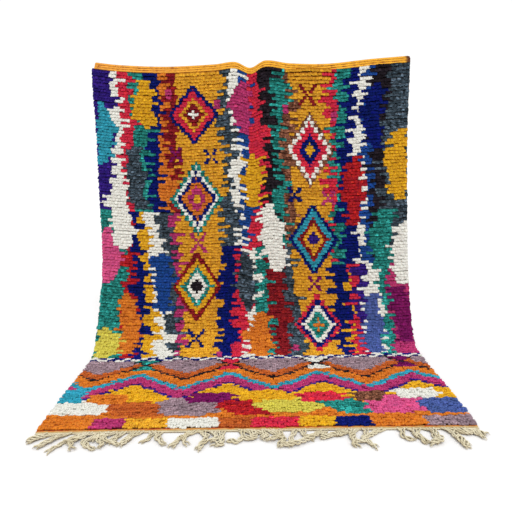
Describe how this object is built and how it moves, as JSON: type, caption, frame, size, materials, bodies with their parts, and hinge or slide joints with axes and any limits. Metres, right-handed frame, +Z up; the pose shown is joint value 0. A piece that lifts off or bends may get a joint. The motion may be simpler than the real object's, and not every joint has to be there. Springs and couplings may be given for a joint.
{
  "type": "boujaad rug",
  "caption": "Hand-knotted wool rug hung by its top edge, so that it falls in a soft curve, bends and runs out flat on the floor, with ribbed end bands and a knotted fringe.",
  "frame": {"origin": "on the floor, under the middle of the whole hung rug's box", "axes": "+Z up; +X across the rug, to the right as seen from the front; the rug hangs at the back (+Y) with its pile facing -Y, and runs out on the floor towards -Y, pile up"},
  "size_m": [1.7114, 1.2816, 1.5315],
  "materials": {
    "pile_wool": "knotted wool pile, matte",
    "wool_ochre": "wool, matte",
    "fringe_cotton": "undyed cotton and wool warps, matte",
    "wool_gold": "dyed wool, matte",
    "wool_amber": "dyed wool, matte",
    "wool_lemon": "dyed wool, matte",
    "wool_orange": "dyed wool, matte",
    "wool_rust": "dyed wool, matte",
    "wool_crimson": "dyed wool, matte",
    "wool_red": "dyed wool, matte",
    "wool_maroon": "dyed wool, matte",
    "wool_magenta": "dyed wool, matte",
    "wool_pink": "dyed wool, matte",
    "wool_plum": "dyed wool, matte",
    "wool_navy": "dyed wool, matte",
    "wool_royal": "dyed wool, matte",
    "wool_indigo": "dyed wool, matte",
    "wool_periwinkle": "dyed wool, matte",
    "wool_teal": "dyed wool, matte",
    "wool_turquoise": "dyed wool, matte",
    "wool_slate": "dyed wool, matte",
    "wool_mauve": "dyed wool, matte",
    "wool_brown": "dyed wool, matte",
    "wool_black": "dyed wool, matte",
    "wool_white": "undyed wool, matte"
  },
  "bodies": {
    "root": {"pile_field": "pile_wool", "top_heading": "wool_gold", "front_heading": "wool_ochre", "fringe_comb": "fringe_cotton"}
  },
  "joints": []
}
